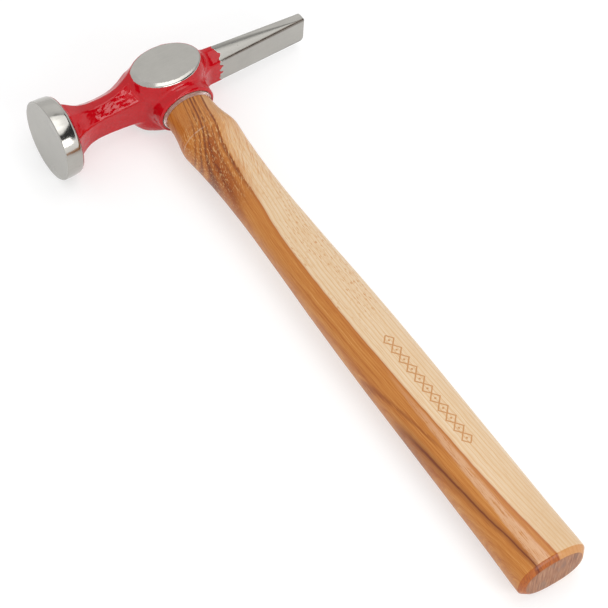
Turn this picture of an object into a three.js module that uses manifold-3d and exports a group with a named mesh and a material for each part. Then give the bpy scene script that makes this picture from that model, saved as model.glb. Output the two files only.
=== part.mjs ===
// Cross-pein panel hammer, in millimetres.
//
// A one-piece forged steel head has a round flat face at one end and a cross-pein wedge at the other. Its
// middle is an oval boss with two ground cheeks, and a short socket under it. A hickory handle is driven up
// through the eye, spread there by a hardwood wedge and a steel wedge, and sealed at the socket by a bead of
// clear resin.
//
// Frame while modelling: the origin is the centre of the eye, +X runs along the head to the pein, +Y up the
// handle to the crown, and +Z out of the upper cheek. The exported group moves that to the middle of the
// underside, with the hammer lying on its side.
import * as THREE from "three";
import { mergeVertices } from "three/addons/utils/BufferGeometryUtils.js";
import Module from "manifold-3d";

const wasm = await Module();
wasm.setup();

// ---- Driving dimensions ----

const GAP = 0.3; // room kept between two pieces that bear on each other

const FACE = { x: -66.5, radius: 20, thickness: 9.6, frontRound: 0.9, backRound: 2.6 };

// Octagonal neck between the face and the boss: half sizes, and how much each corner is cut back.
const NECK = [
  { x: -58.5, y: 13.2, z: 16.5, cut: 7.0 },
  { x: -56.5, y: 11.6, z: 14.8, cut: 6.4 },
  { x: -53.5, y: 9.6, z: 12.8, cut: 5.7 },
  { x: -49.0, y: 7.7, z: 11.3, cut: 5.1 },
  { x: -43.0, y: 6.7, z: 10.7, cut: 4.7 },
  { x: -36.0, y: 6.7, z: 10.7, cut: 4.6 },
  { x: -30.0, y: 6.8, z: 11.7, cut: 4.9 },
  { x: -25.0, y: 7.6, z: 13.2, cut: 5.7 },
  { x: -20.5, y: 9.2, z: 15.2, cut: 6.4 },
  { x: -8.0, y: 10.2, z: 15.6, cut: 6.6 },
];

// Oval boss round the eye. Its two flat ends are the cheeks.
const BOSS = {
  centreX: -1.4,
  centreY: 0.7,
  cheekZ: 16.4,
  cheekX: 17.1,
  cheekY: 11.6,
  bodyX: 19.4,
  bodyY: 13.2,
  edge: 2.4,
};

const SOCKET = { y: -17.0, x: 14.7, z: 12.7, rootX: 16.6, rootZ: 14.2, edge: 0.8 };
const CROWN = { y: 13.6, x: 15.2, z: 11.8, rootX: 16.4, rootZ: 13.0, edge: 1.2 };

// Eye: waisted, so that the wedged tenon can't pull out, with a recess at the socket for the resin.
const EYE = [
  { y: SOCKET.y, x: 13.4, z: 11.5 },
  { y: SOCKET.y + 2.4, x: 12.4, z: 10.5 },
  { y: -4, x: 11.6, z: 9.6 },
  { y: CROWN.y, x: 12.8, z: 10.2 },
];

// Cross pein: a wedge that thins toward its edge, with slightly bulged cheeks.
const PEIN = {
  rootX: 12,
  tipX: 75.5,
  centreY: 1.45,
  rootY: 6.1,
  tipY: 2.4,
  rootZ: 8.0,
  tipZ: 7.0,
  tipCorner: 3.2,
  squareness: 4.0,
};

// Handle below the socket: half width along X, half thickness along Z, and how square the oval is.
const HANDLE_NECK = [
  { y: -18.0, x: 12.1, z: 10.2, square: 2.0 },
  { y: -24.0, x: 12.6, z: 10.7, square: 2.0 },
  { y: -31.0, x: 13.5, z: 11.4, square: 2.1 },
  { y: -37.0, x: 14.5, z: 12.1, square: 2.2 },
];
const BUTT = { y: -313.0, chamfer: 2.3, chamferLength: 2.6 };
const HANDLE_GRIP = [
  { y: -40.0, x: 14.4, z: 12.0, square: 2.2 },
  { y: -52.0, x: 13.4, z: 11.1, square: 2.3 },
  { y: -78.0, x: 12.5, z: 10.2, square: 2.3 },
  { y: -108.0, x: 13.0, z: 10.2, square: 2.3 },
  { y: -150.0, x: 14.7, z: 11.1, square: 2.35 },
  { y: -200.0, x: 15.8, z: 11.6, square: 2.35 },
  { y: -255.0, x: 16.2, z: 11.7, square: 2.35 },
  { y: BUTT.y + BUTT.chamferLength, x: 17.2, z: 12.1, square: 2.35 },
];
const TENON_TOP = CROWN.y + 0.4;

// The wood wedge fills the kerf right across the eye; the steel one is driven in across it.
const WOOD_WEDGE = { width: 30.0, depth: 17.0, top: 4.2, tip: 1.4, turn: Math.PI / 2 };
const STEEL_WEDGE = { width: 13.0, depth: 11.0, top: 2.4, tip: 0.8, turn: Math.PI / 5 };

const RESIN = { inset: 2.0, proud: 0.9, foot: 0.55 };

const OVAL_POINTS = 40;
const TURNED_POINTS = 56;

// ---- Shape helpers ----

// A ring of points on a superellipse: power 2 is an ellipse, and larger powers are squarer.
function oval(halfU, halfV, power = 2, centreU = 0, centreV = 0, count = OVAL_POINTS) {
  const round = (value) => Math.sign(value) * Math.abs(value) ** (2 / power);
  return Array.from({ length: count }, (_, i) => {
    const angle = ((i + 0.5) / count) * 2 * Math.PI;
    return new THREE.Vector2(
      centreU + halfU * round(Math.cos(angle)),
      centreV + halfV * round(Math.sin(angle)),
    );
  });
}

function octagon(halfU, halfV, cut) {
  const corner = (u, v) => new THREE.Vector2(u, v);
  const [u, v, iu, iv] = [halfU, halfV, halfU - cut, halfV - cut];
  return [
    corner(u, iv),
    corner(iu, v),
    corner(-iu, v),
    corner(-u, iv),
    corner(-u, -iv),
    corner(-iu, -v),
    corner(iu, -v),
    corner(u, -iv),
  ];
}

// Which way a loft runs, as the images of its two ring directions and of its own length.
const ALONG = {
  x: new THREE.Matrix4().makeBasis(
    new THREE.Vector3(0, 1, 0),
    new THREE.Vector3(0, 0, 1),
    new THREE.Vector3(1, 0, 0),
  ),
  y: new THREE.Matrix4().makeBasis(
    new THREE.Vector3(0, 0, 1),
    new THREE.Vector3(1, 0, 0),
    new THREE.Vector3(0, 1, 0),
  ),
  z: new THREE.Matrix4(),
};

// A closed skin over rings of equal point count, with flat ends. Stations run in the growing direction.
function loft(axis, stations) {
  const count = stations[0].ring.length;
  const positions = [];
  const index = [];
  for (const { at, ring } of stations) {
    for (const p of ring) positions.push(p.x, p.y, at);
  }
  for (let s = 0; s + 1 < stations.length; s++) {
    for (let i = 0; i < count; i++) {
      const [a, b] = [s * count + i, s * count + ((i + 1) % count)];
      index.push(a, b, b + count, a, b + count, a + count);
    }
  }
  const cap = ({ at, ring }, first, facesForward) => {
    const middle = ring.reduce((sum, p) => sum.add(p), new THREE.Vector2()).divideScalar(count);
    const hub = positions.push(middle.x, middle.y, at) / 3 - 1;
    for (let i = 0; i < count; i++) {
      const [a, b] = [first + i, first + ((i + 1) % count)];
      index.push(hub, facesForward ? a : b, facesForward ? b : a);
    }
  };
  cap(stations[0], 0, false);
  cap(stations.at(-1), (stations.length - 1) * count, true);
  return new THREE.BufferGeometry()
    .setAttribute("position", new THREE.Float32BufferAttribute(positions, 3))
    .setIndex(index)
    .applyMatrix4(ALONG[axis]);
}

function solid(geometry) {
  const bare = new THREE.BufferGeometry()
    .setAttribute("position", geometry.getAttribute("position"))
    .setIndex(geometry.getIndex());
  const merged = mergeVertices(bare, 1e-4);
  return new wasm.Manifold(
    new wasm.Mesh({
      numProp: 3,
      vertProperties: merged.attributes.position.array,
      triVerts: new Uint32Array(merged.index.array),
    }),
  );
}

const join = (solids) => solids.reduce((sum, next) => sum.add(next));
const cut = (body, tools) => tools.reduce((left, tool) => left.subtract(tool), body);

function piece(name, body, material) {
  const { vertProperties, triVerts } = body.getMesh();
  const geometry = new THREE.BufferGeometry()
    .setAttribute("position", new THREE.BufferAttribute(vertProperties, 3))
    .setIndex(new THREE.BufferAttribute(triVerts, 1));
  geometry.computeVertexNormals();
  const mesh = new THREE.Mesh(geometry, material);
  mesh.name = name;
  return mesh;
}

// ---- Head ----

// The round striking face: a turned disc about X, with a crisp front edge and a softer back one.
function faceDisc() {
  const { radius, thickness, frontRound, backRound } = FACE;
  const outline = new THREE.Path()
    .moveTo(0, 0)
    .lineTo(radius - frontRound, 0)
    .absarc(radius - frontRound, frontRound, frontRound, -Math.PI / 2, 0, false)
    .lineTo(radius, thickness - backRound)
    .absarc(radius - backRound, thickness - backRound, backRound, 0, Math.PI / 2, false)
    .lineTo(0, thickness);
  return new THREE.LatheGeometry(outline.getPoints(4), TURNED_POINTS)
    .rotateZ(-Math.PI / 2)
    .translate(FACE.x, 0, 0);
}

const neck = () => loft("x", NECK.map(({ x, y, z, cut: c }) => ({ at: x, ring: octagon(y, z, c) })));

function boss() {
  const { centreX, centreY, cheekZ, cheekX, cheekY, bodyX, bodyY, edge } = BOSS;
  const widened = (t) => {
    const [x, y] = [THREE.MathUtils.lerp(cheekX, bodyX, t), THREE.MathUtils.lerp(cheekY, bodyY, t)];
    return oval(x, y, 2, centreX, centreY);
  };
  const half = [
    { at: cheekZ, ring: widened(0) },
    { at: cheekZ - edge * 0.3, ring: widened(0.7) },
    { at: cheekZ - edge, ring: widened(1) },
  ];
  const mirrored = half.map(({ at, ring }) => ({ at: -at, ring }));
  return loft("z", [...mirrored, ...half.reverse()]);
}

// The short tube at one end of the eye, from the middle of the boss out to its rim.
function rim({ y, x, z, rootX, rootZ, edge }) {
  const out = Math.sign(y);
  const stations = [
    { at: 0, ring: oval(rootZ, rootX) },
    { at: y - out * 6, ring: oval(rootZ, rootX) },
    { at: y - out * edge, ring: oval(z, x) },
    { at: y, ring: oval(z - edge, x - edge) },
  ];
  return loft("y", out > 0 ? stations : stations.reverse());
}

function pein() {
  const { rootX, tipX, centreY, rootY, tipY, rootZ, tipZ, tipCorner, squareness } = PEIN;
  const station = (x, inset) => {
    const t = (x - rootX) / (tipX - rootX);
    const halfY = THREE.MathUtils.lerp(rootY, tipY, t) - 0.3 * inset;
    const halfZ = THREE.MathUtils.lerp(rootZ, tipZ, t) - inset;
    return { at: x, ring: oval(halfY, halfZ, squareness, centreY) };
  };
  const straight = [rootX, tipX - tipCorner].map((x) => station(x, 0));
  const corner = [0.35, 0.7, 1].map((t) => {
    const inset = tipCorner * (1 - Math.sqrt(1 - t * t));
    return station(tipX - tipCorner * (1 - t), inset);
  });
  return loft("x", [...straight, ...corner]);
}

// The eye's own shape, or the tenon's when it is drawn in by a clearance.
function eyeFill(clearance, bottom, top) {
  const along = (y, key) => {
    const next = EYE.findIndex((station) => station.y >= y);
    const [a, b] = [EYE[Math.max(next - 1, 0)], EYE[Math.max(next, 1)]];
    return THREE.MathUtils.mapLinear(y, a.y, b.y, a[key], b[key]);
  };
  const inner = EYE.filter(({ y }) => y > bottom && y < top).map(({ y }) => y);
  return loft(
    "y",
    [bottom, ...inner, top].map((y) => {
      const inside = Math.min(Math.max(y, EYE[0].y), EYE.at(-1).y);
      return { at: y, ring: oval(along(inside, "z") - clearance, along(inside, "x") - clearance) };
    }),
  );
}

function head() {
  const forged = join([faceDisc(), neck(), boss(), rim(SOCKET), rim(CROWN), pein()].map(solid));
  return cut(forged, [solid(eyeFill(0, SOCKET.y - 5, CROWN.y + 5))]);
}

// ---- Wedges ----

// A flat wedge whose thick end is level with the tenon's top, its width along Z before it is turned.
function wedge({ width, depth, top, tip, turn }, grow = 0) {
  const section = new THREE.Shape([
    new THREE.Vector2(-top / 2 - grow, TENON_TOP + 2 * grow),
    new THREE.Vector2(-tip / 2 - grow, TENON_TOP - depth - grow),
    new THREE.Vector2(tip / 2 + grow, TENON_TOP - depth - grow),
    new THREE.Vector2(top / 2 + grow, TENON_TOP + 2 * grow),
  ]);
  const length = width + 2 * grow;
  return solid(
    new THREE.ExtrudeGeometry(section, { depth: length, bevelEnabled: false })
      .translate(0, 0, -length / 2)
      .rotateY(turn),
  );
}

function woodWedge() {
  const eye = solid(eyeFill(GAP, -CROWN.y, TENON_TOP));
  return cut(wedge(WOOD_WEDGE).intersect(eye), [wedge(STEEL_WEDGE, GAP)]);
}

// ---- Handle ----

function handleBody() {
  const end = HANDLE_GRIP.at(-1);
  const buttRing = oval(end.z - BUTT.chamfer, end.x - BUTT.chamfer, end.square);
  const curve = (list, key, steps) =>
    new THREE.SplineCurve(list.map((s) => new THREE.Vector2(s.y, s[key]))).getPoints(steps);
  const stretch = (list, steps) => {
    const [xs, zs, squares] = ["x", "z", "square"].map((key) => curve(list, key, steps));
    return xs.map((p, i) => ({ at: p.x, ring: oval(zs[i].y, p.y, squares[i].y) }));
  };
  const grip = stretch(HANDLE_GRIP, 20).reverse();
  const neckPart = stretch(HANDLE_NECK, 6).reverse();
  return solid(loft("y", [{ at: BUTT.y, ring: buttRing }, ...grip, ...neckPart]));
}

function handle() {
  const tenon = solid(eyeFill(GAP, SOCKET.y + RESIN.inset + GAP, TENON_TOP));
  const throat = solid(
    loft("y", [
      { at: HANDLE_NECK[0].y - 0.5, ring: oval(HANDLE_NECK[0].z, HANDLE_NECK[0].x) },
      { at: SOCKET.y + 3, ring: oval(HANDLE_NECK[0].z - 0.5, HANDLE_NECK[0].x - 0.5) },
    ]),
  );
  const whole = join([handleBody(), throat, tenon]);
  return cut(whole, [wedge(WOOD_WEDGE, GAP), wedge(STEEL_WEDGE, GAP)]);
}

// ---- Resin ----

// The clear bead squeezed out between the wood and the socket's rim.
function resinSeal() {
  const { inset, proud, foot } = RESIN;
  const wood = HANDLE_NECK[0];
  const [inner, outer] = [
    { x: wood.x + GAP, z: wood.z + GAP },
    { x: EYE[0].x - GAP, z: EYE[0].z - GAP },
  ];
  const bead = loft("y", [
    { at: SOCKET.y - proud, ring: oval(inner.z + foot, inner.x + foot) },
    { at: SOCKET.y - 0.2, ring: oval(outer.z, outer.x) },
    { at: SOCKET.y + inset, ring: oval(outer.z - 0.8, outer.x - 0.8) },
  ]);
  const core = loft("y", [
    { at: SOCKET.y - proud - 1, ring: oval(inner.z, inner.x) },
    { at: SOCKET.y + inset + 1, ring: oval(inner.z, inner.x) },
  ]);
  return cut(solid(bead), [solid(core)]);
}

// ---- Assembly ----

const metal = (color, roughness) => new THREE.MeshStandardMaterial({ color, roughness, metalness: 1 });
const dull = (color, roughness) => new THREE.MeshStandardMaterial({ color, roughness, metalness: 0 });
const enamel = dull(0xb5121b, 0.25);
const hickory = dull(0xc98f52, 0.45);
const wedgeWood = dull(0xd9b382, 0.6);
const wedgeSteel = metal(0x8d8f92, 0.4);
const resin = new THREE.MeshStandardMaterial({
  color: 0xd8b9a0,
  roughness: 0.15,
  metalness: 0,
  transparent: true,
  opacity: 0.6,
});

const assembly = new THREE.Group();
assembly.add(
  piece("forged_head", head(), enamel),
  piece("hickory_handle", handle(), hickory),
  piece("wood_wedge", woodWedge(), wedgeWood),
  piece("steel_wedge", wedge(STEEL_WEDGE), wedgeSteel),
  piece("resin_seal", resinSeal(), resin),
);

// Lying on its side: the face's rim is the lowest point, and the origin is under the middle of the outline.
assembly.position.set(-(FACE.x + PEIN.tipX) / 2, -(BUTT.y + FACE.radius) / 2, FACE.radius);

const hammer = new THREE.Group();
hammer.add(assembly);
export default hammer;
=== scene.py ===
"""Looks for the cross-pein panel hammer: forged head, enamel, hickory handle, wedges and resin.

Shapes are worked out in millimetres in the hammer's own axes: the origin is the centre of the eye, +X runs
along the head to the pein, +Y up the handle to the crown, and +Z out of the upper cheek. place() moves them
into the row frame, in metres.
"""

import itertools
import math

import bpy
import numpy as np
from mathutils import Matrix, Vector


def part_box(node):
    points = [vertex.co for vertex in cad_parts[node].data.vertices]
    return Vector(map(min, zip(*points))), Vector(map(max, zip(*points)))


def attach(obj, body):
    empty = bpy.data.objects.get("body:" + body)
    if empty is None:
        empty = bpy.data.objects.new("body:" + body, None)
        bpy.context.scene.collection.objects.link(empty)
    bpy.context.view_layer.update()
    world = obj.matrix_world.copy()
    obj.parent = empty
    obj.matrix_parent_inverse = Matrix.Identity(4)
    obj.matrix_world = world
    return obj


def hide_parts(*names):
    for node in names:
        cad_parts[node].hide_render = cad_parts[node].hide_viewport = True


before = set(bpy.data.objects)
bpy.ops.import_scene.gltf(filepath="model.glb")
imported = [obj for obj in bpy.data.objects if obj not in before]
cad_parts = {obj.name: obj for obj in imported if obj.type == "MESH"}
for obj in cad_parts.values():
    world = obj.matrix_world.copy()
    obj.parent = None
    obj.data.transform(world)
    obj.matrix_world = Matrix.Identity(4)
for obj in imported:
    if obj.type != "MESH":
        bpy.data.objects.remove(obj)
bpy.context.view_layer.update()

MM = 0.001
HEAD_LOW, HEAD_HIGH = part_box("forged_head")
HANDLE_LOW, HANDLE_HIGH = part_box("hickory_handle")
EYE = Vector(
    (
        (HANDLE_LOW.x + HANDLE_HIGH.x) / 2,
        (HEAD_LOW.y + HEAD_HIGH.y) / 2,
        (HEAD_LOW.z + HEAD_HIGH.z) / 2,
    )
)

# Places along the head and the handle, from the frame, in millimetres from the eye.
FACE_X = (HEAD_LOW.x - EYE.x) / MM
PEIN_X = (HEAD_HIGH.x - EYE.x) / MM
FACE_RADIUS = (HEAD_HIGH.z - HEAD_LOW.z) / 2 / MM
BUTT_Y = (HANDLE_LOW.y - EYE.y) / MM
TENON_Y = (HANDLE_HIGH.y - EYE.y) / MM

FACE_THICKNESS = 9.6
CHEEK_Z = 16.4  # the cheeks lie this far above and below the eye's centre
CHEEK_HALF_X = 17.1
CHEEK_HALF_Y = 11.6
BOSS_X = -1.4  # centre of the boss and of its cheeks
BOSS_Y = 0.7
SOCKET_Y = -17.0  # mouth of the socket, on the handle's side
CROWN_Y = 13.6  # mouth of the eye, on the crown's side
EYE_WAIST_Y = -4.0
EYE_HALF_X = 11.6  # half widths of the eye at its waist, and how much wider it is at the crown
EYE_HALF_Z = 9.6
EYE_SPREAD_X = 1.2
EYE_SPREAD_Z = 0.6
TENON_GAP = 0.3
KERF_ROOM = 0.12  # gap on each side of a wedge in its slot
PAINT_LINE_X = 26.0  # where the enamel ends on the pein, give or take its ragged edge
ENAMEL = 0.2  # thickness of the enamel outside the steel
ENAMEL_DEPTH = 1.5  # how far its mesh reaches into the steel, out of sight
GRID = 0.45  # mesh spacing of the head
NET_PASSES = 5  # how often a mesh's points are moved toward the true surface

# The pein's underside and the height of its rolled sides, at PEIN_MIDDLE and per millimetre toward the tip.
PEIN_MIDDLE = 50.0
PEIN_BOTTOM = -2.93
PEIN_BOTTOM_SLOPE = 0.048
PEIN_ROLL = 5.2
PEIN_ROLL_SLOPE = -0.19


# ---- Mesh helpers ----


def place(points):
    """Millimetres from the eye to metres in the row frame."""
    return np.asarray(points, float) * MM + np.array(EYE)


def mesh_piece(name, points, faces, material, normals=None):
    """A smooth-shaded object from points in millimetres."""
    mesh = bpy.data.meshes.new(name)
    mesh.from_pydata(place(points).tolist(), [], [list(f) for f in faces])
    mesh.validate()
    mesh.polygons.foreach_set("use_smooth", [True] * len(mesh.polygons))
    if normals is not None:
        mesh.normals_split_custom_set_from_vertices(np.asarray(normals).tolist())
    mesh.materials.append(material)
    piece = bpy.data.objects.new(name, mesh)
    bpy.context.scene.collection.objects.link(piece)
    return piece


def gradient(field, points, reach=0.02):
    """Central differences of a field, one row per point."""
    steps = np.eye(3) * reach
    return np.stack([field(points + s) - field(points - s) for s in steps], -1) / (2 * reach)


def surface_net(field, low, high, step):
    """A closed quad mesh of the surface where field is zero, with its normals. Inside is negative."""
    axes = [np.arange(a, b + step, step) for a, b in zip(low, high)]
    value = field(np.stack(np.meshgrid(*axes, indexing="ij"), -1))
    cells = tuple(n - 1 for n in value.shape)

    def corner(array, offset):
        """The values at one corner of every cell."""
        return array[tuple(slice(o, o + n) for o, n in zip(offset, cells))]

    inside = value < 0
    corners = list(itertools.product((0, 1), repeat=3))
    filled = sum(corner(inside, c).astype(np.int8) for c in corners)
    active = (filled > 0) & (filled < 8)
    where = np.argwhere(active)
    total = np.zeros((len(where), 3))
    crossings = np.zeros(len(where))
    for a, b in itertools.combinations(corners, 2):
        if sum(abs(i - j) for i, j in zip(a, b)) != 1:
            continue
        va, vb = corner(value, a)[active], corner(value, b)[active]
        crossed = (va < 0) != (vb < 0)
        t = np.where(crossed, va / np.where(crossed, va - vb, 1), 0)
        total += crossed[:, None] * (np.array(a) + t[:, None] * (np.array(b) - np.array(a)))
        crossings += crossed
    points = np.array([a[0] for a in axes]) + step * (where + total / crossings[:, None])
    for _ in range(NET_PASSES):
        slope = gradient(field, points)
        shift = field(points)[:, None] * slope / np.maximum((slope**2).sum(-1), 0.2)[:, None]
        points = points - np.clip(shift, -step / 2, step / 2)

    index = np.full(cells, -1)
    index[active] = np.arange(len(where))
    faces = []
    for axis in range(3):
        u, v = (axis + 1) % 3, (axis + 2) % 3
        low_side = [slice(1, -1)] * 3
        high_side = [slice(1, -1)] * 3
        low_side[axis], high_side[axis] = slice(0, -1), slice(1, None)
        starts, ends = inside[tuple(low_side)], inside[tuple(high_side)]
        edges = np.argwhere(starts != ends) + [0 if k == axis else 1 for k in range(3)]
        leaves = starts[starts != ends]
        around = []
        for du, dv in ((1, 1), (0, 1), (0, 0), (1, 0)):
            cell = edges.copy()
            cell[:, u] -= du
            cell[:, v] -= dv
            around.append(index[tuple(cell.T)])
        quads = np.stack(around, -1)
        quads[~leaves] = quads[~leaves][:, ::-1]
        faces.append(quads)
    slope = gradient(field, points)
    normals = slope / np.linalg.norm(slope, axis=1)[:, None]
    return points, np.concatenate(faces).tolist(), normals


def smooth_curve(stations, values, blur=2.0):
    """A function through the stations, rounded over a distance of about blur."""
    fine = np.linspace(stations[0] - 6 * blur, stations[-1] + 6 * blur, 1200)
    spacing = fine[1] - fine[0]
    kernel = np.exp(-0.5 * (np.arange(-4 * blur, 4 * blur, spacing) / blur) ** 2)
    padded = np.pad(np.interp(fine, stations, values), len(kernel) // 2, mode="edge")
    rounded = np.convolve(padded, kernel / kernel.sum(), mode="valid")[: len(fine)]
    return lambda at: np.interp(at, fine, rounded)


def lumps(points, wavelength, seed, count=14):
    """Smooth random waves between about -1 and 1, the same on each run."""
    rng = np.random.default_rng(seed)
    total = np.zeros(points.shape[:-1])
    for _ in range(count):
        wave = rng.normal(size=3)
        wave *= 2 * math.pi / wavelength / np.linalg.norm(wave) * rng.uniform(0.7, 1.4)
        total += np.sin(points @ wave + rng.uniform(0, 2 * math.pi))
    return total / math.sqrt(count)


# ---- Head shape, as a signed distance field ----


def round_max(a, b, radius):
    """The overlap of two shapes, with its edge rounded."""
    past = np.hypot(np.maximum(a + radius, 0), np.maximum(b + radius, 0))
    return np.minimum(np.maximum(a, b), -radius) + past


def round_min(a, b, radius):
    """Two shapes joined, with a fillet between them."""
    return -round_max(-a, -b, radius)


def oval_distance(u, v, half_u, half_v):
    """Roughly the distance to an oval with these half widths. Inside is negative."""
    size = np.hypot(u / half_u, v / half_v)
    slope = np.hypot(u / half_u**2, v / half_v**2)
    return (size - 1) * np.maximum(size, 1e-6) / np.maximum(slope, 1e-6)


# The neck's section along the head. The corner columns say how far each corner is cut back.
NECK = [
    # x, half width to the crown, to the grip and to a cheek, then the crown's corner and the grip's corner
    (-60, 14.5, 14.5, 17.0, 9.5, 9.5),
    (-57, 13.3, 13.0, 16.6, 8.6, 8.6),
    (-53, 10.9, 10.3, 14.2, 7.2, 7.2),
    (-48, 8.1, 7.6, 11.4, 5.5, 5.5),
    (-42, 6.9, 6.4, 10.5, 4.7, 4.7),
    (-36, 6.7, 6.2, 10.9, 4.6, 4.7),
    (-30, 6.7, 6.2, 11.9, 4.8, 5.4),
    (-24, 7.9, 6.4, 14.0, 4.9, 7.0),
    (-19, 10.2, 6.7, 16.2, 5.0, 8.4),
    (-8, 11.0, 7.0, 17.0, 5.0, 9.0),
]
NECK_X, *NECK_COLUMNS = zip(*NECK)
neck_crown_y, neck_grip_y, neck_half_z, neck_crown_cut, neck_grip_cut = (
    smooth_curve(NECK_X, column) for column in NECK_COLUMNS
)


def face_disc(x, y, z):
    """The striking disc, whose rim narrows a little toward the neck."""
    crown = 0.012 * np.maximum(x - FACE_X - 2, 0) ** 2
    front = round_max(np.hypot(y, z) - FACE_RADIUS + crown, FACE_X - x, 0.5)
    return round_max(front, x - FACE_X - FACE_THICKNESS, 2.2)


def neck(x, y, z):
    """An octagonal waist, a little fuller on the crown side."""
    crown_side, grip_side = y - neck_crown_y(x), -y - neck_grip_y(x)
    upright = np.abs(z) - neck_half_z(x)
    corner = np.maximum(crown_side + neck_crown_cut(x), grip_side + neck_grip_cut(x))
    section = round_max(np.maximum(crown_side, grip_side), (corner + upright) / math.sqrt(2), 0.3)
    section = round_max(section, upright, 0.3)
    return np.maximum(np.maximum(section, -61 - x), x + 6)


def boss(x, y, z):
    """The oval body round the eye, which narrows toward its two cheeks."""
    narrow = np.clip((np.abs(z) - 9.0) / 8.0, 0, 1) ** 2
    body = oval_distance(
        x - BOSS_X,
        y - BOSS_Y,
        CHEEK_HALF_X + 2.9 - 2.9 * narrow,
        CHEEK_HALF_Y + 2.2 - 2.2 * narrow,
    )
    return np.maximum(body, np.abs(z) - CHEEK_Z - 3)


def rim(x, y, z, end, half_x, half_z, flare):
    """The short tube at one end of the eye, from the middle of the boss to its mouth."""
    out = np.sign(end)
    back = np.maximum(abs(end) - out * y, 0)
    tube = oval_distance(x, z, half_x + flare * back, half_z + flare * back)
    return np.maximum(round_max(tube, out * y - abs(end), 1.0), -out * y - 2)


def pein(x, y, z):
    """A wedge with a flat underside, a flat top and sides that roll in toward the underside."""
    along = x - PEIN_MIDDLE
    top = 4.6 - 0.036 * along
    bottom = PEIN_BOTTOM + PEIN_BOTTOM_SLOPE * along
    roll = np.maximum(PEIN_ROLL + PEIN_ROLL_SLOPE * along, 1.0)
    low = np.maximum(bottom + roll - y, 0)
    high = np.maximum(y - top + 3.2, 0)
    half_z = 7.15 + 0.0155 * along + 0.3 * roll
    side = (np.abs(z) - half_z + 0.3 / roll * low**2 + 0.05 * high**2) * 0.9
    section = round_max(round_max(side, y - top, 1.0), bottom - y, 0.45)
    corner = round_max(x - PEIN_X - 0.25, side, np.where(z > 0, 1.2, 2.2))
    return np.maximum(round_max(section, corner, 0.5), 8 - x)


def cheeks(x, y, z):
    """The two ground planes, bevelled on the handle's side. They don't reach the neck's far end."""
    from_edge = oval_distance(x - BOSS_X, y - BOSS_Y, CHEEK_HALF_X, CHEEK_HALF_Y)
    bevel = np.maximum(from_edge + 1.25, 0)
    bevel = bevel * np.clip((-y - 0.45 * x - 1) / 6, 0, 1)
    return np.abs(z) - CHEEK_Z - np.clip(-26 - x, 0, 12) + 0.3 * bevel


def eye_spread(y):
    """How far the eye has opened out toward the crown: 0 at its waist and 1 at the crown."""
    return np.clip((y - EYE_WAIST_Y) / (CROWN_Y - EYE_WAIST_Y), 0, 1)


def eye_hole(x, y, z):
    """The oval eye, which opens out from its waist to the crown and to the socket's mouth."""
    mouth = np.clip((SOCKET_Y + 2.4 - y) / 2.4, 0, 1)
    half_x = EYE_HALF_X + 1.8 * mouth + EYE_SPREAD_X * eye_spread(y)
    half_z = EYE_HALF_Z + 1.9 * mouth + EYE_SPREAD_Z * eye_spread(y)
    return oval_distance(x, z, half_x, half_z)


def forging(points):
    """The whole head in bare steel."""
    x, y, z = points[..., 0], points[..., 1], points[..., 2]
    body = round_min(boss(x, y, z), neck(x, y, z), 1.8)
    body = round_min(body, pein(x, y, z), 4.5)
    body = round_min(body, rim(x, y, z, SOCKET_Y, half_x=14.7, half_z=12.7, flare=0.09), 2.0)
    body = round_min(body, rim(x, y, z, CROWN_Y, half_x=15.2, half_z=11.8, flare=0.08), 3.0)
    body = round_max(body, cheeks(x, y, z), 0.5)
    body = round_min(body, face_disc(x, y, z), 1.2)
    return round_max(body, -eye_hole(x, y, z), 0.4)


def bare_steel(points):
    """Positive where the steel is left bright: the face disc, the cheeks and the pein."""
    x, y, z = points[..., 0], points[..., 1], points[..., 2]
    around = np.arctan2(z, y)
    long_teeth = 2.6 * (1 - np.abs(np.sin(3.5 * around + 0.55))) ** 1.5
    short_teeth = 0.9 * (1 - np.abs(np.sin(9 * around)))
    on_pein = x - PAINT_LINE_X - long_teeth - short_teeth - 0.22 * lumps(points, 1.6, seed=5)
    on_disc = FACE_X + FACE_THICKNESS - 0.7 - x + 0.12 * lumps(points, 5, seed=6)
    edge = 0.4 + 0.05 * lumps(points, 4, seed=7)
    near_cheek = oval_distance(x - BOSS_X, y - BOSS_Y, CHEEK_HALF_X + 0.8, CHEEK_HALF_Y + 0.8)
    on_cheek = np.minimum(cheeks(x, y, z) + edge, -near_cheek)
    in_eye = 0.15 - eye_hole(x, y, z)
    return np.maximum.reduce([on_pein, on_disc, on_cheek, in_eye])


def bare_forging(points):
    """The forging, drawn in a little under the enamel, so that no steel shows through it."""
    return forging(points) + 0.15 * np.clip(-bare_steel(points) / 0.8, 0, 1)


def enamel_coat(points):
    """A thin skin over the forging, lumpy as brushed enamel is, with thick edges."""
    base = forging(points)
    wavy = 0.035 * lumps(points, 4.5, seed=2) + 0.012 * lumps(points, 1.8, seed=3)
    shell = np.maximum(base - ENAMEL - wavy, -base - ENAMEL_DEPTH)
    return round_max(shell, bare_steel(points), 0.12)


# ---- Handle shape ----

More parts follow.
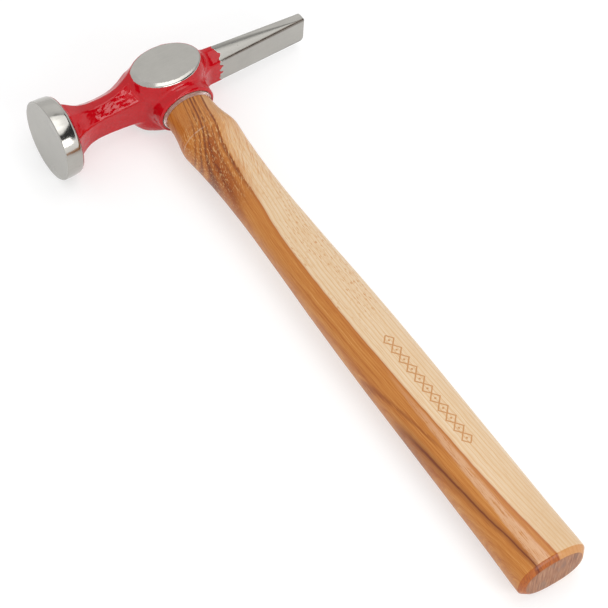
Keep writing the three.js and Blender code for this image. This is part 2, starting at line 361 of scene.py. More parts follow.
# The handle's section from the butt to the socket.
HANDLE = [
    # y, half width along the head, half width to a cheek
    (-306, 17.3, 12.2),
    (-288, 16.8, 11.9),
    (-240, 16.3, 11.8),
    (-192, 15.9, 11.7),
    (-168, 15.4, 11.5),
    (-144, 14.7, 11.05),
    (-120, 13.7, 10.4),
    (-96, 12.85, 10.1),
    (-84, 12.65, 10.1),
    (-72, 12.7, 10.3),
    (-60, 13.0, 10.7),
    (-50, 13.6, 11.3),
    (-42, 14.5, 12.2),
    (-38, 14.9, 12.5),
    (-34, 14.3, 12.1),
    (-30, 13.4, 11.4),
    (-25, 12.6, 10.75),
    (-17, 12.2, 10.4),
]
HANDLE_Y, *HANDLE_COLUMNS = zip(*HANDLE)
handle_half_x, handle_half_z = (smooth_curve(HANDLE_Y, column, blur=0.9) for column in HANDLE_COLUMNS)
BUTT_CHAMFER = 2.4
AROUND = 144  # points round each ring of the handle


def handle_ring(y, shrink=0.0, scale=1.0):
    """One ring of the handle: an oval that is a little square below the shoulder."""
    square = 2.0 + 0.4 * np.clip((-28 - y) / 25, 0, 1)
    angle = (np.arange(AROUND) + 0.5) * 2 * math.pi / AROUND
    c, s = np.cos(angle), np.sin(angle)
    x = (handle_half_x(y) - shrink) * np.sign(c) * np.abs(c) ** (2 / square)
    z = (handle_half_z(y) - shrink) * np.sign(s) * np.abs(s) ** (2 / square)
    return np.stack([x * scale, np.full(AROUND, y), z * scale], -1)


def tenon_ring(y, scale=1.0):
    """One ring of the tenon, which fills the eye but for a thin gap."""
    angle = (np.arange(AROUND) + 0.5) * 2 * math.pi / AROUND
    x = (EYE_HALF_X - TENON_GAP + EYE_SPREAD_X * eye_spread(y)) * np.cos(angle)
    z = (EYE_HALF_Z - TENON_GAP + EYE_SPREAD_Z * eye_spread(y)) * np.sin(angle)
    return np.stack([x * scale, np.full(AROUND, y), z * scale], -1)


def skin(rings):
    """Quads over rings of equal size, closed at both ends, which are already drawn in to a point."""
    count = len(rings[0])
    faces = []
    for r in range(len(rings) - 1):
        for i in range(count):
            j = (i + 1) % count
            faces.append((r * count + i, (r + 1) * count + i, (r + 1) * count + j, r * count + j))
    first = tuple(range(count))
    last = tuple((len(rings) - 1) * count + i for i in reversed(range(count)))
    return np.concatenate(rings), faces + [first, last]


def handle_mesh():
    """The handle from the flat butt over its chamfer, up the grip and shoulder, to the end of the tenon."""
    grip_y = BUTT_Y + BUTT_CHAMFER
    rings = [handle_ring(BUTT_Y, BUTT_CHAMFER, scale) for scale in (0.02, 0.25, 0.5, 0.75, 0.94)]
    for t in (0.04, 0.5, 0.96):
        rings.append(handle_ring(BUTT_Y + t * BUTT_CHAMFER, BUTT_CHAMFER * (1 - t)))
    rings += [handle_ring(y) for y in np.arange(grip_y + 0.3, SOCKET_Y - 0.5, 1.4)]
    rings += [handle_ring(SOCKET_Y + 0.5), handle_ring(SOCKET_Y + 1.5, 0.5)]
    rings += [tenon_ring(y) for y in (SOCKET_Y + 3, -8, -4, 0, 4, 8, 11, TENON_Y - 0.25)]
    rings += [tenon_ring(TENON_Y, scale) for scale in (0.98, 0.75, 0.5, 0.25, 0.02)]
    return skin(rings)


def kerf_cutter(node):
    """A copy of a wedge's CAD solid, a little larger, that cuts its slot in the tenon."""
    cutter = bpy.data.objects.new("cutter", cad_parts[node].data.copy())
    low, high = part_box(node)
    middle = (low + high) / 2
    grow = Matrix.Diagonal([(s + 2 * KERF_ROOM * MM) / s for s in high - low]).to_4x4()
    cutter.data.transform(Matrix.Translation(middle) @ grow @ Matrix.Translation(-middle))
    return cutter


def resin_mesh():
    """A bead round the handle at the socket's mouth: a closed ring with a hollow meniscus outside."""
    inside, outside = 0.06, 0.82
    profile = [(inside, SOCKET_Y + 1.6), (outside - 0.4, SOCKET_Y + 1.4), (outside, SOCKET_Y + 0.1)]
    for angle in np.linspace(0, math.pi / 2, 7):
        offset = outside - (outside - 0.15) * math.sin(angle)
        profile.append((offset, SOCKET_Y - 0.15 - 1.5 * (1 - math.cos(angle))))
    profile.append((inside, SOCKET_Y - 1.55))
    count = len(profile)
    points = []
    for i in range(AROUND):
        angle = (i + 0.5) * 2 * math.pi / AROUND
        for offset, y in profile:
            offset += 0.12 * math.sin(3 * angle + 1) * (y < SOCKET_Y)
            x = (handle_half_x(y) + offset) * math.cos(angle)
            z = (handle_half_z(y) + offset) * math.sin(angle)
            points.append((x, y, z))
    faces = []
    for i in range(AROUND):
        j = (i + 1) % AROUND
        for k in range(count):
            m = (k + 1) % count
            faces.append((i * count + k, i * count + m, j * count + m, j * count + k))
    return points, faces


# ---- Material helpers ----


# The sockets of a Mix node that carry colours.
COLOUR_A, COLOUR_B, COLOUR_OUT = 6, 7, 2


class Num:
    """A number in a node tree, with arithmetic that adds Math nodes."""

    def __init__(self, tree, socket):
        self.tree, self.socket = tree, socket

    def math(self, operation, *others):
        """A Math node fed by this number and the others."""
        node = self.tree.nodes.new("ShaderNodeMath")
        node.operation = operation
        for slot, value in zip(node.inputs, (self, *others)):
            if isinstance(value, Num):
                self.tree.links.new(value.socket, slot)
            else:
                slot.default_value = value
        return Num(self.tree, node.outputs[0])

    def __add__(self, other):
        return self.math("ADD", other)

    def __sub__(self, other):
        return self.math("SUBTRACT", other)

    def __mul__(self, other):
        return self.math("MULTIPLY", other)

    def __truediv__(self, other):
        return self.math("DIVIDE", other)

    __radd__ = __add__

    def abs(self):
        return self.math("ABSOLUTE")

    def fold(self, period):
        """The distance from the nearest multiple of the period."""
        return self.math("PINGPONG", period / 2)

    def either(self, other):
        return self.math("MAXIMUM", other)

    def both(self, other):
        return self.math("MINIMUM", other)

    def step(self, low, high):
        """0 below low and 1 above high, or the other way round where low is above high."""
        node = self.tree.nodes.new("ShaderNodeMapRange")
        node.interpolation_type = "SMOOTHSTEP"
        self.tree.links.new(self.socket, node.inputs["Value"])
        flipped = low > high
        node.inputs["From Min"].default_value = min(low, high)
        node.inputs["From Max"].default_value = max(low, high)
        node.inputs["To Min"].default_value = 1.0 if flipped else 0.0
        node.inputs["To Max"].default_value = 0.0 if flipped else 1.0
        return Num(self.tree, node.outputs[0])


class Finish:
    """A material with one Principled shader, and the helpers that build what drives it."""

    def __init__(self, name, **constants):
        self.material = bpy.data.materials.new(name)
        self.material.use_nodes = True
        self.tree = self.material.node_tree
        self.shader = self.tree.nodes["Principled BSDF"]
        for key, value in constants.items():
            self.shader.inputs[key.replace("_", " ")].default_value = value
        self.x, self.y, self.z = self.coordinates()

    def coordinates(self):
        """The place being shaded, in millimetres from the eye."""
        row = self.tree.nodes.new("ShaderNodeTexCoord")
        eye = self.tree.nodes.new("ShaderNodeVectorMath")
        eye.operation = "SUBTRACT"
        eye.inputs[1].default_value = EYE
        scale = self.tree.nodes.new("ShaderNodeVectorMath")
        scale.operation = "SCALE"
        scale.inputs["Scale"].default_value = 1 / MM
        self.tree.links.new(row.outputs["Object"], eye.inputs[0])
        self.tree.links.new(eye.outputs[0], scale.inputs[0])
        parts = self.tree.nodes.new("ShaderNodeSeparateXYZ")
        self.tree.links.new(scale.outputs[0], parts.inputs[0])
        return [Num(self.tree, out) for out in parts.outputs]

    def vector(self, x, y, z):
        """A vector socket from three numbers."""
        node = self.tree.nodes.new("ShaderNodeCombineXYZ")
        for slot, value in zip(node.inputs, (x, y, z)):
            if isinstance(value, Num):
                self.tree.links.new(value.socket, slot)
            else:
                slot.default_value = value
        return node.outputs[0]

    def noise(self, x, y, z, detail=2.0, rough=0.5):
        """Noise from 0 to 1 whose grains are one unit across in the given coordinates."""
        node = self.tree.nodes.new("ShaderNodeTexNoise")
        node.inputs["Scale"].default_value = 1.0
        node.inputs["Detail"].default_value = detail
        node.inputs["Roughness"].default_value = rough
        self.tree.links.new(self.vector(x, y, z), node.inputs["Vector"])
        return Num(self.tree, node.outputs["Fac"])

    def cells(self, x, y, z):
        """The distance to the nearest of a set of scattered points, about one unit apart."""
        node = self.tree.nodes.new("ShaderNodeTexVoronoi")
        node.inputs["Scale"].default_value = 1.0
        self.tree.links.new(self.vector(x, y, z), node.inputs["Vector"])
        return Num(self.tree, node.outputs["Distance"])

    def curve(self, value, stations):
        """A smooth curve through (place, height) stations."""
        low, high = stations[0][0], stations[-1][0]
        heights = [h for _, h in stations]
        bottom, top = min(heights), max(heights)
        node = self.tree.nodes.new("ShaderNodeFloatCurve")
        points = node.mapping.curves[0].points
        while len(points) < len(stations):
            points.new(0.5, 0.5)
        for point, (at, height) in zip(points, stations):
            point.location = ((at - low) / (high - low), (height - bottom) / (top - bottom))
        node.mapping.update()
        self.tree.links.new(((value - low) / (high - low)).socket, node.inputs["Value"])
        return Num(self.tree, node.outputs[0]) * (top - bottom) + bottom

    def ramp(self, value, *stops):
        """A colour from a number, through (place, colour) stops."""
        node = self.tree.nodes.new("ShaderNodeValToRGB")
        elements = node.color_ramp.elements
        while len(elements) < len(stops):
            elements.new(0.5)
        for element, (at, colour) in zip(elements, stops):
            element.position, element.color = at, (*colour, 1)
        self.tree.links.new(value.socket, node.inputs[0])
        return node.outputs["Color"]

    def mix(self, amount, first, second, mode="MIX"):
        """The first colour, with as much of the second as amount says."""
        node = self.tree.nodes.new("ShaderNodeMix")
        node.data_type, node.blend_type = "RGBA", mode
        self.tree.links.new(amount.socket, node.inputs["Factor"])
        for slot, value in ((COLOUR_A, first), (COLOUR_B, second)):
            if isinstance(value, tuple):
                node.inputs[slot].default_value = (*value, 1)
            else:
                self.tree.links.new(value, node.inputs[slot])
        return node.outputs[COLOUR_OUT]

    def drive(self, socket, value):
        """Feeds one of the shader's inputs."""
        self.tree.links.new(getattr(value, "socket", value), self.shader.inputs[socket])

    def bump(self, height, depth, coat=False):
        """Relief from a height of 0 to 1, depth millimetres deep, on the coat too where coat is true."""
        node = self.tree.nodes.new("ShaderNodeBump")
        node.inputs["Strength"].default_value = 1.0
        node.inputs["Distance"].default_value = depth * MM
        self.tree.links.new(height.socket, node.inputs["Height"])
        self.tree.links.new(node.outputs[0], self.shader.inputs["Normal"])
        if coat:
            self.tree.links.new(node.outputs[0], self.shader.inputs["Coat Normal"])


def seen_as(red, green, blue):
    """The base colour that looks like this one, 0 to 255, under this light and a clear coat."""
    light, gloss = 1.15, 0.01
    return tuple(((c / 255 + 0.055) / 1.055) ** 2.4 / light - gloss for c in (red, green, blue))


# ---- Materials ----


def bright_steel():
    """Ground steel: satin on the flats, nearly a mirror on the disc's rim and the cheeks' rounded edges."""
    steel = Finish("bright_steel", Metallic=1.0)
    x, y, z = steel.x, steel.y, steel.z
    inner, outer = FACE_RADIUS - 1.0, FACE_RADIUS - 0.6
    on_rim = (y * y + z * z).step(inner**2, outer**2).both(x.step(-50, -54))
    off_x, off_y = x - BOSS_X, y - BOSS_Y
    half_x, half_y = CHEEK_HALF_X - 1.6, CHEEK_HALF_Y - 1.6
    from_middle = (off_x * off_x / half_x**2 + off_y * off_y / half_y**2).step(0.98, 1.03)
    on_edge = from_middle.both(y.step(-2, -5)).both(z.abs().step(14.6, 15)).both(x.step(9, 3))
    on_side = z.abs().step(6.3, 6.7).both(x.step(20, 24))
    on_face = x.step(FACE_X + 0.5, FACE_X + 0.2)
    polished = on_rim.either(on_edge)
    scratches = steel.noise(x * 0.35, y * 3.2, z * 3.2, detail=4, rough=0.7)
    clouds = steel.noise(x * 0.12, y * 0.12, z * 0.12, detail=3)
    pits = steel.cells(x * 0.55, y * 0.55, z * 0.55).step(0.10, 0.03)
    specks = pits * steel.noise(x * 0.22, y * 0.22, z * 0.22).step(0.52, 0.6)
    sweep = steel.noise((y + z * 0.5) * 0.12, (z - y * 0.5) * 0.9, 0.0, detail=3, rough=0.6)
    rough = 0.26 + scratches * 0.07 + clouds * 0.05 - polished * 0.19 - on_side * 0.12
    tone = scratches * 0.4 + clouds * 0.4 + sweep * 0.2
    dark, light = (0.39, 0.378, 0.352), (0.47, 0.457, 0.425)
    colour = steel.ramp(tone, (0.3, dark), (0.7, light))
    above = y - x * PEIN_BOTTOM_SLOPE + (PEIN_MIDDLE * PEIN_BOTTOM_SLOPE - PEIN_BOTTOM)
    roll = x * PEIN_ROLL_SLOPE + (PEIN_ROLL - PEIN_MIDDLE * PEIN_ROLL_SLOPE)
    # A painted reflection: a dark line follows the arris between each rolled side and the underside.
    arris = (above - 0.4).abs().step(0.55, 0.25).both(x.step(24, 32)).both(z.step(5.9, 6.3))
    # Painted reflection: the lower part of each rolled side is darkened, standing in for the dark room that
    # the curving steel mirrors.
    rolled = (above / roll).step(1.05, 0.8).both(on_side)
    colour = steel.mix(rolled * 0.62, colour, (0.19, 0.185, 0.17))
    colour = steel.mix(arris * 0.8, colour, (0.13, 0.10, 0.08))
    colour = steel.mix(on_face * sweep.step(0.2, 0.8) * 0.35, colour, (0.33, 0.32, 0.30))
    steel.drive("Base Color", steel.mix(specks * 0.75, colour, (0.13, 0.12, 0.11)))
    steel.drive("Roughness", rough)
    steel.bump(scratches * (polished * -0.9 + 1.0) * 0.4 - specks * 1.5, 0.02)
    return steel.material


def red_enamel():
    """Thick glossy enamel with a faint orange peel and brush marks."""
    paint = Finish(
        "red_enamel",
        Coat_Weight=1.0,
        Coat_Roughness=0.05,
        Coat_IOR=1.41,
        Specular_IOR_Level=0.0,
    )
    x, y, z = paint.x, paint.y, paint.z
    peel = paint.noise(x * 0.9, y * 0.9, z * 0.9, detail=3)
    brushed = paint.noise(x * 0.5, y * 2.6, z * 2.6, detail=2)
    clouds = paint.noise(x * 0.1, y * 0.1, z * 0.1)
    tone = clouds * 0.6 + peel * 0.4
    deep, light = (0.40, 0.001, 0.005), (0.49, 0.002, 0.008)
    paint.drive("Base Color", paint.ramp(tone, (0.35, deep), (0.65, light)))
    paint.drive("Roughness", 0.3 + peel * 0.15)
    paint.bump(peel * 0.7 + brushed * 0.3, 0.045, coat=True)
    return paint.material


# How far the heartwood's edge lies from the handle's axis, along the handle.
HEART_EDGE = [
    (-313, 1.6),
    (-294, -0.2),
    (-274, -2.2),
    (-240, -4.4),
    (-195, -6.5),
    (-160, -7.4),
    (-116, -6.9),
    (-89, -4.6),
    (-65, -2.5),
    (-52, -0.9),
    (-40, 2.2),
    (-29, 4.4),
    (-13, 8.0),
]


def ring_depth(wood):
    """How far a point lies on the sapwood side of the heartwood's edge, which bends along the handle."""
    sway = wood.noise(wood.x * 0.03, wood.y * 0.012, wood.z * 0.03) - 0.5
    ripple = wood.noise(wood.x * 0.12, wood.y * 0.1, wood.z * 0.12) - 0.5
    return wood.x - wood.curve(wood.y, HEART_EDGE) + sway * 1.0 + ripple * 0.7


def heartwood(wood, depth, lines, fibre, near_head):
    """Golden brown, with dark rings that are closer together and more broken near the head."""
    y = wood.y
    near_butt = y.step(-205, -240)
    broken = wood.noise(depth * 1.6, y * 0.09, wood.z * 1.2, detail=3, rough=0.7)
    ring = depth * (near_head * y.step(-60, -25) * 0.38 + 0.62)
    colour = wood.ramp(
        lines * 0.65 + fibre * 0.35,
        (0.32, seen_as(164, 86, 34)),
        (0.46, seen_as(192, 120, 56)),
        (0.57, seen_as(203, 136, 68)),
        (0.70, seen_as(222, 164, 100)),
    )

    def streak(at, width):
        """1 on the ring at this depth, fading out over its half width."""
        return (ring - at).abs().step(width, width * 0.1)

    dark = streak(-0.5, 1.1) * near_head
    rings = ((-2.8, 0.5, 0.6), (-4.9, 0.8, 1.0), (-8.4, 0.7, 0.8), (-10.4, 0.7, 0.7))
    for at, width, amount in rings:
        dark = dark.either(streak(at, width) * near_head * amount)
    dark = dark * broken.step(0.32, 0.55)
    dark = dark.either(streak(-6.6, 0.75) * near_head * broken.step(0.15, 0.45))
    dark = dark.either(streak(-6.6, 1.4) * near_butt * 0.5).either(streak(-6.6, 0.5) * near_butt)
    rising = (wood.x + y * 0.125 + 40.2).abs().step(1.0, 0.1)
    rising = rising * y.step(-246, -232) * y.step(-170, -200)
    pool = streak(-4.4, 3.6) * y.step(-92, -68) * y.step(-37, -48)
    colour = wood.mix(pool * 0.85, colour, seen_as(150, 72, 26))
    colour = wood.mix(streak(-0.2, 0.8) * 0.6, colour, seen_as(178, 100, 44))
    colour = wood.mix(rising * broken.step(0.3, 0.5) * 0.6, colour, seen_as(140, 70, 34))
    return wood.mix(dark * 0.95, colour, seen_as(118, 58, 34))


def sapwood(wood, depth, lines, fibre, near_head):
    """Pale, with fine darker growth lines, and more orange near the head."""
    colour = wood.ramp(
        lines * 0.5 + fibre * 0.5,
        (0.35, seen_as(220, 176, 128)),
        (0.48, seen_as(231, 202, 164)),
        (0.65, seen_as(237, 214, 183)),
    )
    growth = wood.noise(depth * 0.2, wood.y * 0.004, wood.z * 0.05) * 3.0 + depth
    colour = wood.mix(growth.fold(1.9).step(0.45, 0.05) * 0.45, colour, seen_as(218, 166, 112))
    tan = wood.y.step(-72, -34) * (lines.step(0.66, 0.38) * 0.5 + 0.2)
    colour = wood.mix(tan.either(near_head * 0.12), colour, seen_as(208, 146, 88))
    colour = wood.mix(wood.y.step(-46, -34) * 0.5, colour, seen_as(202, 140, 80))
    return wood.mix(wood.y.step(-250, -306) * 0.35, colour, seen_as(212, 172, 128))


def painted_highlight_band(wood, heart, depth, strands, chamfer):
    """The heartwood is paler in a long band along the grip: a painted highlight, the reflection of a lamp
    in the lacquer.
    """
    x, y = wood.x, wood.y
    top = depth + 0.9 + y.step(-228, -313) * 2.6
    low = x + 8.8 + y.step(-214, -180) * -1.4 + (strands - 0.5) * 2.2
    highlight_mask = top.step(0.6, -0.9) * low.step(-0.5, 0.9) * y.step(-176, -262) * chamfer.step(1, 0)
    return wood.mix(highlight_mask * strands.step(0.32, 0.52) * 0.7, heart, seen_as(228, 186, 150))


def shoulder_figure(wood, heart, pale, depth, fleck, on_shoulder):
    """Where the shoulder cuts through the rings, the edge is ragged, with slanting flecks and streaks."""
    orange = wood.noise((wood.x - wood.y * 0.42) * 1.3, wood.y * 0.1, 0.0, detail=3, rough=0.6)
    pale = wood.mix(orange.step(0.5, 0.62) * on_shoulder * 0.7, pale, seen_as(208, 140, 78))
    warm = depth.step(4.2, -0.2) * (orange.step(0.3, 0.5) * 0.6 + 0.4)
    pale = wood.mix(warm * on_shoulder * 0.9, pale, seen_as(206, 142, 82))
    heart = wood.mix(fleck.step(0.47, 0.34) * on_shoulder * 0.65, heart, seen_as(178, 98, 40))
    ragged = depth + (fleck - 0.5) * on_shoulder * 3.0
    colour = wood.mix(ragged.step(-0.35, 0.3), heart, pale)
    return wood.mix(fleck.step(0.54, 0.66) * on_shoulder * 0.55, colour, seen_as(234, 188, 128))


def butt_figure(wood, colour, depth, strands, chamfer):
    """The chamfer is browner, with scorched heartwood, and the butt shows end grain."""
    x, y, z = wood.x, wood.y, wood.z
    colour = wood.mix(chamfer, colour, (0.80, 0.55, 0.33), "MULTIPLY")
    scorch = chamfer * depth.step(0.3, -0.4) * strands.step(0.55, 0.40)
    colour = wood.mix(scorch * 0.5, colour, seen_as(120, 62, 36))
    butt = y.step(BUTT_Y + 0.08, BUTT_Y + 0.02)
    grain = wood.noise(depth * 1.3, y, z * 0.10, detail=4)
    smudge = wood.noise(x * 0.16, y, z * 0.1, detail=3).step(0.5, 0.68)
    end_grain = wood.ramp(
        grain,
        (0.3, seen_as(118, 68, 38)),
        (0.5, seen_as(154, 100, 64)),
        (0.65, seen_as(174, 124, 88)),
    )
    end_grain = wood.mix(smudge * 0.5, end_grain, seen_as(130, 104, 88))
    return wood.mix(butt, colour, end_grain)


def hickory():
    """Lacquered hickory: golden heartwood with dark rings on one side, pale sapwood on the other."""
    wood = Finish(
        "lacquered_hickory",
        Coat_Weight=0.4,
        Coat_Roughness=0.14,
        Coat_IOR=1.5,
        Roughness=0.5,
        Specular_IOR_Level=0.15,
    )
    x, y, z = wood.x, wood.y, wood.z
    depth = ring_depth(wood)
    near_head = y.step(-95, -55)
    on_shoulder = y.step(-92, -64) * y.step(-27, -36)
    chamfer = y.step(BUTT_Y + 2.5, BUTT_Y + 2.2)
    fibre = wood.noise(x * 4.5, y * 0.10, z * 4.5, detail=3, rough=0.6)
    lines = wood.noise(depth * 1.9, y * 0.010, z * 0.1, detail=4, rough=0.7)
    strands = wood.noise(x * 2.4, y * 0.12, z * 0.5, detail=3, rough=0.75)
    fleck = wood.noise((x - y * 0.42) * 1.5, y * 0.34, z * 1.5, detail=2, rough=0.6)

    heart = heartwood(wood, depth, lines, fibre, near_head)
    # Painted highlight: a pale band of lamp light reflected in the lacquer along the grip.
    heart = painted_highlight_band(wood, heart, depth, strands, chamfer)
    pale = sapwood(wood, depth, lines, fibre, near_head)
    colour = shoulder_figure(wood, heart, pale, depth, fleck, on_shoulder)

    # Short orange pores on the grip's upper side, and the broken white line on the shoulder's ridge.
    pores = wood.noise(x * 2.6, y * 0.36, 0.0, detail=0)
    patches = wood.noise(x * 0.1, y * 0.02, z * 0.1).step(0.40, 0.55)
    dashes = pores.step(0.64, 0.72) * patches * (y.step(-180, -160) * y.step(-76, -90) * 0.6 + 0.1)
    colour = wood.mix(dashes * z.step(1, 6), colour, seen_as(204, 130, 60))
    ridge = (y + 38.4 + (fleck - 0.5) * 0.8).abs().step(0.55, 0.1) * x.step(-1, -7) * z.step(0, 2)
    colour = wood.mix(ridge * strands.step(0.38, 0.55) * 0.36, colour, seen_as(238, 214, 190))

    colour = butt_figure(wood, colour, depth, strands, chamfer)
    marks = burnt_marks(wood)
    wood.drive("Base Color", wood.mix(marks * 0.85, colour, seen_as(200, 136, 74)))
    wood.bump(fibre * 0.3 - marks * 1.2 + lines * 0.3 + fleck * on_shoulder * 0.4, 0.05)
    return wood.material


def burnt_marks(wood):
    """A chain of plain diamonds with a dot in each, burnt into the upper side of the grip."""
    middle_x, middle_y = 2.0, -214.0
    pitch, half_width, count = 6.0, 2.6, 11
    across = (wood.x - middle_x).abs()
    along = wood.y - middle_y
    from_middle = along.fold(pitch)
    outline = (across / half_width + from_middle / (pitch / 2) - 1.0).abs().step(0.22, 0.10)
    dot = (across + from_middle).step(0.8, 0.5)
    row_end = pitch * count / 2
    in_row = along.abs().step(row_end + 0.2, row_end).both(wood.z.step(6, 7))
    return outline.either(dot) * in_row


def clear_resin():
    """Clear glue, slightly pink and hazy."""
    resin = Finish(
        "clear_resin",
        Roughness=0.2,
        IOR=1.3,
        Transmission_Weight=0.5,
        Coat_Weight=0.3,
        Coat_Roughness=0.08,
    )
    x, y, z = resin.x, resin.y, resin.z
    haze = resin.noise(x * 0.8, y * 0.8, z * 0.8, detail=3)
    dark, light = (0.50, 0.26, 0.20), (0.66, 0.42, 0.35)
    resin.drive("Base Color", resin.ramp(haze, (0.35, dark), (0.65, light)))
    resin.bump(haze, 0.1)
    return resin.material


def wedge_wood():
    """Bare hardwood, with its end grain showing."""
    wood = Finish("wedge_wood", Roughness=0.55, Specular_IOR_Level=0.3)
    x, y, z = wood.x, wood.y, wood.z
    grain = wood.noise(x * 1.5, y * 0.1, z * 4.0, detail=4)
    pores = wood.noise(x * 5, y * 0.3, z * 5, detail=1).step(0.62, 0.7)
    colour = wood.ramp(grain, (0.3, seen_as(176, 124, 78)), (0.7, seen_as(216, 176, 128)))
    wood.drive("Base Color", wood.mix(pores * 0.6, colour, seen_as(120, 76, 44)))
    wood.bump(grain * 0.6 - pores, 0.08)
    return wood.material


def wedge_steel():
    """Dull mild steel with a rolled surface."""
    steel = Finish("wedge_steel", Metallic=1.0)
    x, y, z = steel.x, steel.y, steel.z
    mill = steel.noise(x * 1.2, y * 1.2, z * 1.2, detail=4)
    dark, light = (0.30, 0.29, 0.28), (0.48, 0.47, 0.45)
    steel.drive("Base Color", steel.ramp(mill, (0.3, dark), (0.7, light)))
    steel.drive("Roughness", 0.3 + mill * 0.25)
    steel.bump(mill, 0.06)
    return steel.material


# ---- Pieces ----


def build_head():
    """The forging, and the enamel as a skin of its own over it."""
    reach = FACE_RADIUS + 1.5
    points, faces, normals = surface_net(
        bare_forging,
        (FACE_X - 1.5, -reach, -reach),
        (PEIN_X + 1.5, reach, reach),
        GRID,
    )
    steel = mesh_piece("steel_forging", points, faces, bright_steel(), normals)
    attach(steel, "root")
    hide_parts("forged_head")
    points, faces, normals = surface_net(
        enamel_coat,
        (FACE_X + 7, -reach, -reach),
        (PAINT_LINE_X + 6, reach, reach),
        GRID * 1.2,
    )
    coat = mesh_piece("enamel_coat", points, faces, red_enamel(), normals)
    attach(coat, "root")


def cut_kerf(handle, node):
    """Cuts one wedge's slot out of the tenon."""
    cutter = kerf_cutter(node)
    bpy.context.scene.collection.objects.link(cutter)
    slot = handle.modifiers.new("kerf", "BOOLEAN")
    slot.operation, slot.solver, slot.object = "DIFFERENCE", "EXACT", cutter
    bpy.context.view_layer.update()
    result = handle.evaluated_get(bpy.context.evaluated_depsgraph_get())
    cut = bpy.data.meshes.new_from_object(result)
    handle.modifiers.clear()
    handle.data = cut
    bpy.data.objects.remove(cutter)


def build_handle():
    """The handle in one piece, with the two wedges' slots cut in its tenon."""
    points, faces = handle_mesh()
    handle = mesh_piece("handle_wood", points, faces, hickory())
    for node in ("wood_wedge", "steel_wedge"):
        cut_kerf(handle, node)
    handle.data.polygons.foreach_set("use_smooth", [True] * len(handle.data.polygons))
    handle.data.set_sharp_from_angle(angle=math.radians(28))
    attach(handle, "root")
    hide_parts("hickory_handle")


def build_resin():
    """The bead of glue round the handle at the socket's mouth."""
    points, faces = resin_mesh()
    bead = mesh_piece("resin_bead", points, faces, clear_resin())
    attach(bead, "root")
    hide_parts("resin_seal")


def finish_wedges():
    """The wedges keep their CAD shapes and get materials of their own."""
    for node, material in (("wood_wedge", wedge_wood()), ("steel_wedge", wedge_steel())):
        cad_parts[node].data.materials.clear()
        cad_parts[node].data.materials.append(material)


# ---- Stage ----


def build_floor():
    """A pale table that the hammer lies on: it rests on the face's rim, the lower cheek and the butt."""
    material = bpy.data.materials.new("floor")
    material.use_nodes = True
    shader = material.node_tree.nodes["Principled BSDF"]
    shader.inputs["Base Color"].default_value = (0.5, 0.5, 0.5, 1)
    shader.inputs["Roughness"].default_value = 0.8
    shader.inputs["Specular IOR Level"].default_value = 0.0
    shader.inputs["Emission Color"].default_value = (1, 1, 1, 1)
    shader.inputs["Emission Strength"].default_value = 0.52
    on_rim = Vector((FACE_X + 0.5, 0.3, -FACE_RADIUS - 0.15))
    on_cheek = Vector((BOSS_X + CHEEK_HALF_X - 0.5, -2.0, -CHEEK_Z))
    on_butt = Vector((1.0, BUTT_Y + BUTT_CHAMFER, -handle_half_z(BUTT_Y) - 0.05))
    up = (on_butt - on_rim).cross(on_cheek - on_rim).normalized()
    reach = 3000.0
    points = []
    for x, y in ((-reach, -reach), (reach, -reach), (reach, reach), (-reach, reach)):
        z = on_rim.z - (up.x * (x - on_rim.x) + up.y * (y - on_rim.y)) / up.z
        points.append((x, y, z))
    mesh_piece("floor", points, [(0, 1, 2, 3)], material)


def heading(azimuth, elevation):
    """A direction. Azimuth 0 is on the handle's side, and 90 on the pein's. Both angles are in degrees."""
    a, e = math.radians(azimuth), math.radians(elevation)
    return Vector((math.sin(a) * math.cos(e), -math.cos(a) * math.cos(e), math.sin(e)))


def softbox(name, azimuth, elevation, width, height, radiance):
    """A rectangular lamp aimed at the head, 1.1 m from it. Its width and height are in metres."""
    toward = heading(azimuth, elevation)
    lamp = bpy.data.lights.new(name, "AREA")
    lamp.shape, lamp.size, lamp.size_y = "RECTANGLE", width, height
    lamp.energy = radiance * math.pi * width * height
    rig = bpy.data.objects.new(name, lamp)
    rig.location = EYE + toward * 1.1
    rig.rotation_euler = toward.to_track_quat("Z", "Y").to_euler()
    bpy.context.scene.collection.objects.link(rig)


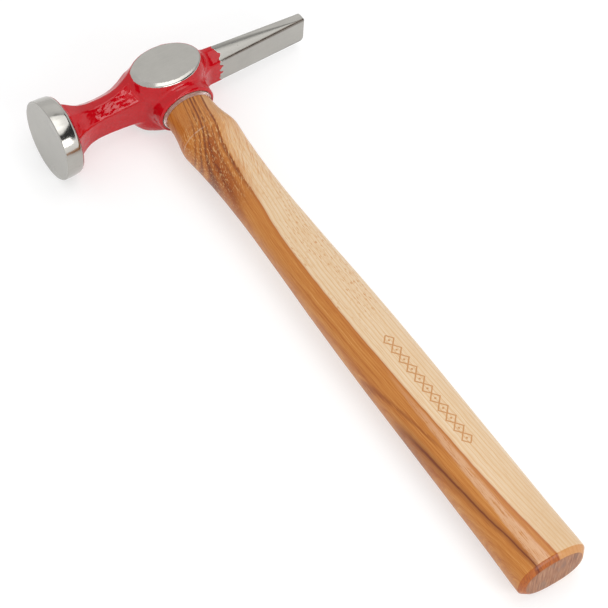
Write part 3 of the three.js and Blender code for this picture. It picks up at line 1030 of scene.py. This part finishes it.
def build_surroundings():
    """A pale room: a bright band low on the handle's side, and a dark opening above it."""
    world = bpy.data.worlds.new("room")
    bpy.context.scene.world = world
    world.use_nodes = True
    tree = world.node_tree
    background = tree.nodes["Background"]
    toward = tree.nodes.new("ShaderNodeTexCoord")
    parts = tree.nodes.new("ShaderNodeSeparateXYZ")
    tree.links.new(toward.outputs["Generated"], parts.inputs[0])
    x, y, z = (Num(tree, out) for out in parts.outputs)
    azimuth = x.math("ARCTAN2", y * -1) * (180 / math.pi)
    elevation = z.math("ARCSINE") * (180 / math.pi)

    def patch(at, wide, up, high, soft):
        """1 on a patch of sky: the azimuth of its middle, half its width, the elevation of its middle,
        half its height and how soft its edge is, all in degrees."""
        across = (azimuth - at).abs().step(wide + soft, wide - soft)
        return across.both((elevation - up).abs().step(high + soft, high - soft))

    opening = patch(37, 28, 42, 18, 5).either(patch(85, 28, 50, 18, 6))
    ceiling = patch(122, 14, 64, 6, 4)
    band = patch(10, 60, 12, 12, 2)
    wall = patch(160, 30, 38, 14, 6)
    level = band * 0.5 + wall * 0.15 - opening * 0.86 - ceiling * 0.7 + 0.9
    direct = tree.nodes.new("ShaderNodeLightPath")
    seen = Num(tree, direct.outputs["Is Camera Ray"])
    level = level.either(seen * 0.95)
    tree.links.new(level.socket, background.inputs["Strength"])
    background.inputs["Color"].default_value = (1, 1, 1, 1)


def build_camera():
    """A long lens above the face, on the handle's side, that takes in the whole hammer."""
    azimuth, elevation, roll = -36.45, 53.59, math.radians(4.49)
    distance, half_field = 1154.5, math.atan(0.118283)
    target = Vector((-14.32, -141.31, 0))
    back = heading(azimuth, elevation)
    right = Vector((math.cos(math.radians(azimuth)), math.sin(math.radians(azimuth)), 0))
    up = back.cross(right)
    turned_right = right * math.cos(roll) + up * math.sin(roll)
    turned_up = up * math.cos(roll) - right * math.sin(roll)
    turn = Matrix((turned_right, turned_up, back)).transposed().to_4x4()
    camera = bpy.data.cameras.new("camera")
    camera.sensor_width = 36
    camera.angle = 2 * half_field
    camera.clip_start, camera.clip_end = 0.01, 20
    rig = bpy.data.objects.new("camera", camera)
    rig.matrix_world = Matrix.Translation(EYE + (target + back * distance) * MM) @ turn
    bpy.context.scene.collection.objects.link(rig)
    bpy.context.scene.camera = rig


build_camera()
build_floor()
build_surroundings()
softbox("overhead", azimuth=60, elevation=73, width=0.98, height=0.62, radiance=1.7)
softbox("front", azimuth=8, elevation=27, width=0.60, height=0.34, radiance=4.4)
build_head()
build_handle()
build_resin()
finish_wedges()
bpy.context.scene.view_settings.view_transform = "Standard"
